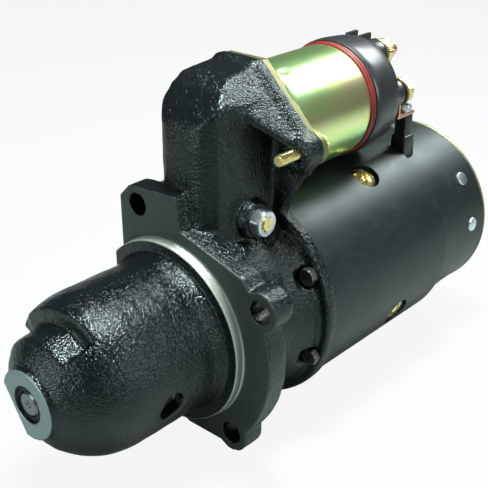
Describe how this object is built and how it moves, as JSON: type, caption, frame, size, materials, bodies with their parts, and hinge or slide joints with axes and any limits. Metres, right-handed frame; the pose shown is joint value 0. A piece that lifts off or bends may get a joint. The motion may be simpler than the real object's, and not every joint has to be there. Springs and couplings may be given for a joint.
{
  "type": "starter motor",
  "caption": "Heavy-duty starter motor with a top solenoid, a shift lever, a sliding pinion in an open nose and a three-bolt mounting flange.",
  "frame": {"origin": "centre of the mounting flange's front face, on the armature axis", "axes": "X along the armature from the nose (-X) to the commutator end (+X), +Z towards the solenoid, +Y towards the ring gear window"},
  "size_m": [0.2956, 0.1212, 0.1781],
  "materials": {
    "cast_black": "satin black over a rough cast skin",
    "frame_black": "gloss black",
    "yellow_zinc": "iridescent yellow zinc plate",
    "gold_plate": "gold zinc plate",
    "pale_plate": "pale yellow zinc plate",
    "bright_steel": "bright zinc plate",
    "ground_steel": "ground steel",
    "dark_steel": "blackened steel",
    "copper": "bare copper",
    "bronze": "oiled sintered bronze",
    "winding": "enamelled copper wire",
    "carbon": "pressed copper graphite",
    "cap_black": "moulded satin black",
    "seal_red": "red rubber",
    "bobbin": "natural nylon"
  },
  "bodies": {
    "motor_body": {"drive_housing": "cast_black", "nose_bushing": "bronze", "pivot_bolt": "gold_plate", "pivot_nut": "bright_steel", "housing_screws": "dark_steel", "center_bearing_plate": "dark_steel", "center_bushing": "bronze", "field_frame": "frame_black", "pole_shoes": "ground_steel", "pole_screws": "gold_plate", "field_coils": "winding", "end_housing": "frame_black", "rear_bushing": "bronze", "end_plate": "pale_plate", "end_screws": "pale_plate", "brush_holders": "bright_steel", "brush_holder_screws": "bright_steel", "brush_springs": "ground_steel", "field_terminal_block": "cap_black", "motor_strap": "copper", "strap_screw": "bright_steel", "solenoid_flange": "pale_plate", "solenoid_case": "yellow_zinc", "solenoid_core": "ground_steel", "coil_bobbin": "bobbin", "pull_in_winding": "winding", "hold_in_winding": "winding", "seal_rings": "seal_red", "solenoid_cap": "cap_black", "battery_stud": "copper", "motor_stud": "copper", "switch_stud": "gold_plate", "terminal_nuts": "gold_plate", "terminal_washers": "pale_plate", "solenoid_bolts": "gold_plate", "solenoid_bolt_nuts": "gold_plate", "plunger_spring": "bright_steel", "contact_spring": "bright_steel"},
    "armature": {"armature_shaft": "ground_steel", "armature_core": "dark_steel", "armature_winding": "winding", "commutator": "copper", "stop_collar": "ground_steel", "stop_ring": "dark_steel"},
    "drive": {"drive_sleeve": "ground_steel", "clutch_shell": "ground_steel", "clutch_rollers": "ground_steel", "mesh_spring": "dark_steel", "shift_collar": "bronze", "sleeve_ring": "dark_steel"},
    "pinion": {"pinion": "ground_steel"},
    "lever": {"shift_lever": "dark_steel"},
    "plunger": {"plunger": "ground_steel", "plunger_pin": "bright_steel"},
    "contact": {"contact_rod": "bright_steel", "contact_disc": "copper"},
    "brush_1": {"brush_1": "carbon"},
    "brush_2": {"brush_2": "carbon"},
    "brush_3": {"brush_3": "carbon"},
    "brush_4": {"brush_4": "carbon"}
  },
  "joints": [
    {"name": "armature_spin", "type": "hinge", "parent": "motor_body", "child": "armature", "pos_m": [0, 0, 0], "axis": [1, 0, 0], "continuous": true},
    {"name": "plunger_slide", "type": "slide", "parent": "motor_body", "child": "plunger", "axis": [1, 0, 0], "range_m": [0, 0.01143], "stiffness_N_per_m": 1500, "springref_m": -0.02, "deforming": ["plunger_spring"]},
    {"name": "lever_swing", "type": "hinge", "parent": "motor_body", "child": "lever", "pos_m": [0.034, 0, 0.052], "axis": [0, 1, 0], "range_deg": [0, 18.82]},
    {"name": "drive_slide", "type": "slide", "parent": "armature", "child": "drive", "axis": [-1, 0, 0], "range_m": [0, 0.017]},
    {"name": "pinion_spin", "type": "hinge", "parent": "drive", "child": "pinion", "pos_m": [0, 0, 0], "axis": [1, 0, 0], "continuous": true},
    {"name": "contact_slide", "type": "slide", "parent": "motor_body", "child": "contact", "axis": [1, 0, 0], "range_m": [0, 0.0025], "deforming": ["contact_spring"]},
    {"name": "brush_1_slide", "type": "slide", "parent": "motor_body", "child": "brush_1", "axis": [0, -0.9367, 0.3502], "range_m": [0, 0.004], "stiffness_N_per_m": 800, "springref_m": -0.01, "deforming": ["brush_springs"]},
    {"name": "brush_2_slide", "type": "slide", "parent": "motor_body", "child": "brush_2", "axis": [0, -0.3502, -0.9367], "range_m": [0, 0.004], "stiffness_N_per_m": 800, "springref_m": -0.01, "deforming": ["brush_springs"]},
    {"name": "brush_3_slide", "type": "slide", "parent": "motor_body", "child": "brush_3", "axis": [0, 0.9367, -0.3502], "range_m": [0, 0.004], "stiffness_N_per_m": 800, "springref_m": -0.01, "deforming": ["brush_springs"]},
    {"name": "brush_4_slide", "type": "slide", "parent": "motor_body", "child": "brush_4", "axis": [0, 0.3502, 0.9367], "range_m": [0, 0.004], "stiffness_N_per_m": 800, "springref_m": -0.01, "deforming": ["brush_springs"]}
  ],
  "couplings": [
    {"joint": "lever_swing", "follows": "plunger_slide", "rad_per_m": 28.725},
    {"joint": "drive_slide", "follows": "plunger_slide", "ratio": 1.487},
    {"joint": "contact_slide", "follows": "plunger_slide", "ratio": 0.2187}
  ]
}
